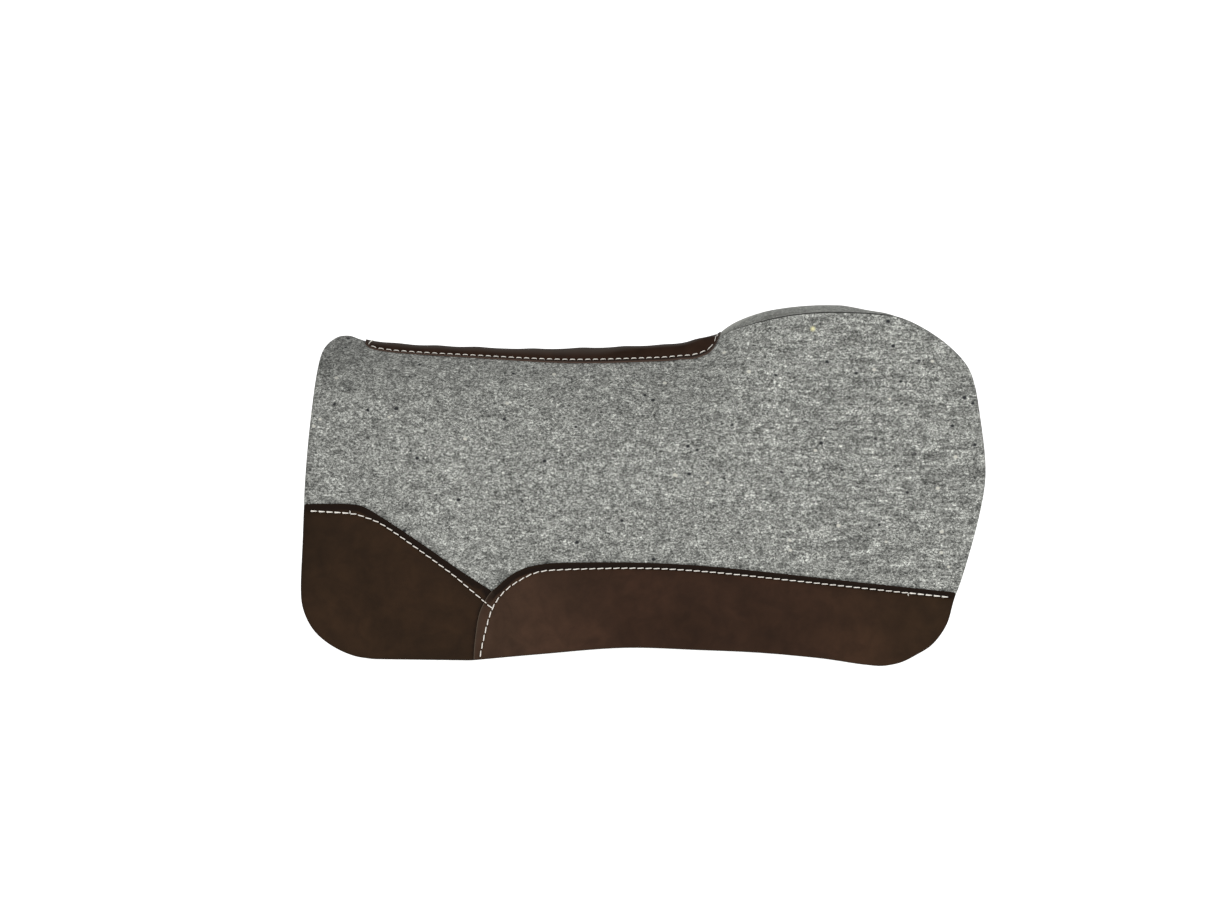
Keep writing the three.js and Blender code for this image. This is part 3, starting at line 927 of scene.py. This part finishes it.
# the inner face's smoother grey, also lightened as painted light against the shade between the
# flaps
INSIDE_FELT_AND_PAINTED_LIGHT = (0.30, 0.305, 0.282)
# a painted highlight for the flap's lip and a painted shadow for the line under it
FLAP_LIP_PAINTED_HIGHLIGHT, FLAP_CREASE_PAINTED_SHADOW = (0.55, 0.555, 0.515), (0.03, 0.03, 0.028)
# the lapping cut edge's lighter tone and painted highlight
CUT_EDGE_AND_PAINTED_HIGHLIGHT = (0.120, 0.090, 0.067)


def felt_material():
    """Grey heather wool: fine light and dark fibres, cloudy patches and a few flecks."""
    made, add, link = material("wool_felt", {
        "Roughness": 0.95, "Specular IOR Level": 0.1, "Sheen Weight": 0.1,
        "Sheen Roughness": 0.6,
    })
    spot = add("UVMap", uv_map="UVMap").outputs["UV"]
    long = add("Mapping", {"Vector": spot, "Scale": (0.72, 1, 1)}).outputs["Vector"]
    turned = add("Mapping", {"Vector": spot, "Rotation": (0, 0, 0.6), "Location": (5, 3, 0),
                             "Scale": (0.8, 1, 1)}).outputs["Vector"]
    drawn_out = add("Mapping", {"Vector": spot, "Scale": (0.10, 1, 1)}).outputs["Vector"]

    grain = fractal(add, long, 500, 5, 0.68, 0.8)
    curls = fractal(add, turned, 400, 4, 0.6, 2.6)
    patch = fractal(add, long, 110, 4, 0.6, 0.9)
    cloud = fractal(add, spot, 12, 3)
    streak = fractal(add, drawn_out, 230, 3, 0.55, 0.3)
    front_part = add("MapRange", {"Value": along_pad(add, spot), "From Min": 0.05,
                                  "From Max": 0.22}).outputs["Result"]
    colour = ramp(add, grain, list(zip((0.37, 0.5, 0.63), FIBRES)))
    colour = speckled(add, colour, curls,
                      [(0.38, grey(0.55)), (0.5, grey(1)), (0.62, grey(1.5))], 0.72)
    colour = speckled(add, colour, patch, [(0.35, grey(0.60)), (0.65, grey(1.40))])
    colour = speckled(add, colour, cloud, [(0.35, grey(0.965)), (0.65, grey(1.03))])
    colour = speckled(add, colour, streak, [(0.38, grey(0.76)), (0.62, grey(1.24))], front_part)

    fleck = add("TexVoronoi", {"Vector": turned, "Scale": 105, "Randomness": 1.0})
    near = ramp(add, fleck.outputs["Distance"], [(0.16, grey(1)), (0.24, grey(0))])
    pick = add("SeparateColor", {"Color": fleck.outputs["Color"]})
    for channel, tone, cut in FLECKS:
        rare = ramp(add, pick.outputs[channel], [(cut, grey(0)), (cut + 0.01, grey(1))])
        colour = mix(add, colour, tone, mix(add, near, rare, 1.0, "MULTIPLY"))
    straw = add("VectorMath", {0: spot, 1: STRAW_PLACE}, operation="DISTANCE")
    straw = ramp(add, straw.outputs["Value"], [(0.0010, grey(1)), (0.0018, grey(0))])
    colour = mix(add, colour, STRAW, straw)

    # the inner face: smoother, and lighter as painted light where the near flap shades the far
    # one
    smooth_and_painted_light = mix(add, mix(add, colour, grey(1.5), 1.0, "MULTIPLY"), INSIDE_FELT_AND_PAINTED_LIGHT, 0.6)
    colour = tinted(add, colour, smooth_and_painted_light, "inner")
    colour = tinted(add, colour, mix(add, colour, grey(0.66), 1.0, "MULTIPLY"), "shade")
    # painted highlight on the flap's lip, painted shadow line under it
    colour = tinted(add, colour, FLAP_LIP_PAINTED_HIGHLIGHT, "painted_lip_highlight")
    colour = tinted(add, colour, FLAP_CREASE_PAINTED_SHADOW, "painted_crease_shadow")
    link(colour, "Base Color")
    height = add("Math", {0: grain, 1: curls}, operation="ADD").outputs["Value"]
    bump = add("Bump", {"Height": height, "Strength": 0.6, "Distance": 0.0012})
    link(bump.outputs["Normal"], "Normal")
    return made


def leather_material(name, tones, margin_tone, rim_tone, crest_painted_sheen=None):
    """Waxed leather. The tones run from the rear end of the pad to the front."""
    made, add, link = material(name, {"Specular IOR Level": 0.06})
    spot = add("UVMap", uv_map="UVMap").outputs["UV"]
    share = add("MapRange", {"Value": along_pad(add, spot), "From Min": -0.38, "From Max": 0.36})
    stops = [(k / (len(tones) - 1), tone) for k, tone in enumerate(tones)]
    colour = ramp(add, share.outputs["Result"], stops)
    cloud = fractal(add, spot, 7, 5, 0.62, 0.6)
    mottle = fractal(add, spot, 48, 4, 0.6, 0.4)
    creases = fractal(add, spot, 120, 4, 0.55, 1.2)
    grain = fractal(add, spot, 900, 2)
    colour = speckled(add, colour, cloud, [(0.32, (0.74, 0.75, 0.73)), (0.5, grey(1)),
                                           (0.68, (1.38, 1.33, 1.33))])
    colour = speckled(add, colour, mottle, [(0.33, grey(0.84)), (0.67, grey(1.17))])
    # a painted sheen along the spine leather's top
    if crest_painted_sheen:
        colour = tinted(add, colour, crest_painted_sheen, "crest")
    # on the wear leathers this is painted shade along the stitched margins
    colour = tinted(add, colour, margin_tone, "margin")
    colour = tinted(add, colour, rim_tone, "rim")
    # lighter lapping cut edge, partly a painted highlight
    colour = tinted(add, colour, CUT_EDGE_AND_PAINTED_HIGHLIGHT, "cut")
    link(colour, "Base Color")
    relief = add("Math", {0: creases, 1: grain}, operation="ADD").outputs["Value"]
    bump = add("Bump", {"Height": relief, "Strength": 0.12, "Distance": 0.0008})
    link(bump.outputs["Normal"], "Normal")
    rough = add("MapRange", {"Value": mottle, "To Min": 0.5, "To Max": 0.68})
    link(rough.outputs["Result"], "Roughness")
    return made


def thread_material():
    """Pale waxed thread."""
    made, add, link = material("waxed_thread", {"Roughness": 0.7, "Specular IOR Level": 0.3})
    fluff = fractal(add, add("UVMap", uv_map="UVMap").outputs["UV"], 1500, 2)
    link(ramp(add, fluff, [(0.3, (0.80, 0.74, 0.65)), (0.6, (0.97, 0.94, 0.87))]), "Base Color")
    return made


# painted shade for the wear leathers' stitched margins
MARGIN_PAINTED_SHADE = (0.0115, 0.0060, 0.0036)
MATERIALS = {
    "felt": felt_material(),
    "rear_leather": leather_material(
        "rear_leather", [(0.0262, 0.0140, 0.0070), (0.0250, 0.0130, 0.0064)],
        MARGIN_PAINTED_SHADE, (0.018, 0.010, 0.006)),
    "front_leather": leather_material(
        "front_leather",
        [(0.042, 0.0235, 0.0130), (0.050, 0.0280, 0.0172), (0.040, 0.0192, 0.0112),
         (0.037, 0.0180, 0.0104), (0.035, 0.0190, 0.0092)],
        MARGIN_PAINTED_SHADE, (0.026, 0.015, 0.009)),
    "spine_leather": leather_material(
        "spine_leather", [(0.030, 0.0155, 0.0095), (0.030, 0.0155, 0.0095)],
        # the last tone is a painted sheen along the top
        (0.032, 0.021, 0.016), (0.085, 0.056, 0.043), (0.080, 0.064, 0.054)),
    "thread": thread_material(),
}


def finish(piece, slot, node):
    """Gives a piece its material, and hides the CAD part that it stands for."""
    piece.data.materials.append(MATERIALS[slot])
    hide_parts(node)
    return piece


def bend_with(piece):
    """Bakes the piece's placement into its mesh."""
    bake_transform(piece)


# ---------------------------------------------------------------- camera, light and floor

SKY = (1.00, 0.25)        # strength of the world's light at the horizon and overhead
KEY_POWER, KEY_SIZE = 22.0, (2.2, 1.2)
KEY_PLACE, KEY_AIM = (0.1, -3.2, 0.85), (0, 0, 0.2)
CAMERA_PLACE, CAMERA_LENS = (-0.0413, -2.9751, 0.6093), 77.24
CAMERA_DOWN, CAMERA_ROLL = math.radians(7.5), math.atan(0.01355)
FLOOR = {
    "Base Color": (0.8, 0.8, 0.8, 1), "Roughness": 0.9, "Specular IOR Level": 0.0,
    "Emission Color": (1, 1, 1, 1), "Emission Strength": 0.93,
}


def studio():
    """The camera, a soft frontal light, and white surroundings that are dimmer overhead."""
    scene = bpy.context.scene
    scene.view_settings.view_transform = "Standard"
    world = bpy.data.worlds.new("studio")
    scene.world = world
    world.use_nodes = True
    nodes, links = world.node_tree.nodes, world.node_tree.links
    where = nodes.new("ShaderNodeTexCoord")
    split = nodes.new("ShaderNodeSeparateXYZ")
    sky = nodes.new("ShaderNodeMapRange")
    links.new(where.outputs["Generated"], split.inputs["Vector"])
    links.new(split.outputs["Z"], sky.inputs["Value"])
    sky.inputs["To Min"].default_value, sky.inputs["To Max"].default_value = SKY
    links.new(sky.outputs["Result"], nodes["Background"].inputs["Strength"])
    nodes["Background"].inputs["Color"].default_value = (1, 1, 1, 1)

    camera = bpy.data.cameras.new("camera")
    camera.lens = CAMERA_LENS
    camera.sensor_width = 36
    camera.clip_end = 50
    view = bpy.data.objects.new("camera", camera)
    scene.collection.objects.link(view)
    view.matrix_world = (Matrix.Translation(CAMERA_PLACE)
                         @ Matrix.Rotation(math.pi / 2 - CAMERA_DOWN, 4, "X")
                         @ Matrix.Rotation(CAMERA_ROLL, 4, "Z"))
    scene.camera = view

    key = bpy.data.lights.new("key", "AREA")
    key.shape = "RECTANGLE"
    key.size, key.size_y = KEY_SIZE
    key.energy = KEY_POWER
    lamp = bpy.data.objects.new("key", key)
    lamp.location = KEY_PLACE
    lamp.rotation_euler = (Vector(KEY_AIM) - lamp.location).to_track_quat("-Z", "Y").to_euler()
    scene.collection.objects.link(lamp)

    floor = cyclorama()
    floor.data.materials.append(material("pale_floor", FLOOR)[0])
    # white to the camera, but the pad is lit by the world and the key light alone
    floor.visible_diffuse = False
    floor.visible_glossy = False
    floor.visible_shadow = False


def cyclorama():
    """A pale floor that curves up into a backdrop."""
    radius, front, back, half, top = 1.5, -20.0, 3.5, 12.0, 6.0
    turn = [math.pi / 2 * k / 16 for k in range(17)]
    side = [(front, 0.0)] + [(back + radius * math.sin(a), radius * (1 - math.cos(a)))
                             for a in turn] + [(back + radius, top)]
    points = [(x, y, z) for y, z in side for x in (-half, half)]
    faces = [(2 * k, 2 * k + 1, 2 * k + 3, 2 * k + 2) for k in range(len(side) - 1)]
    return mesh_object("floor", np.array(points) / MM, faces)


studio()
spine_seam_thread()
for SIDE in SIDES:
    bend_with(felt_panel(SIDE))
    for WHICH in ("rear", "front"):
        wear_leather(SIDE, WHICH)
        wear_stitching(SIDE, WHICH)
    bend_with(spine_leather(SIDE))
    bend_with(spine_stitches(SIDE))
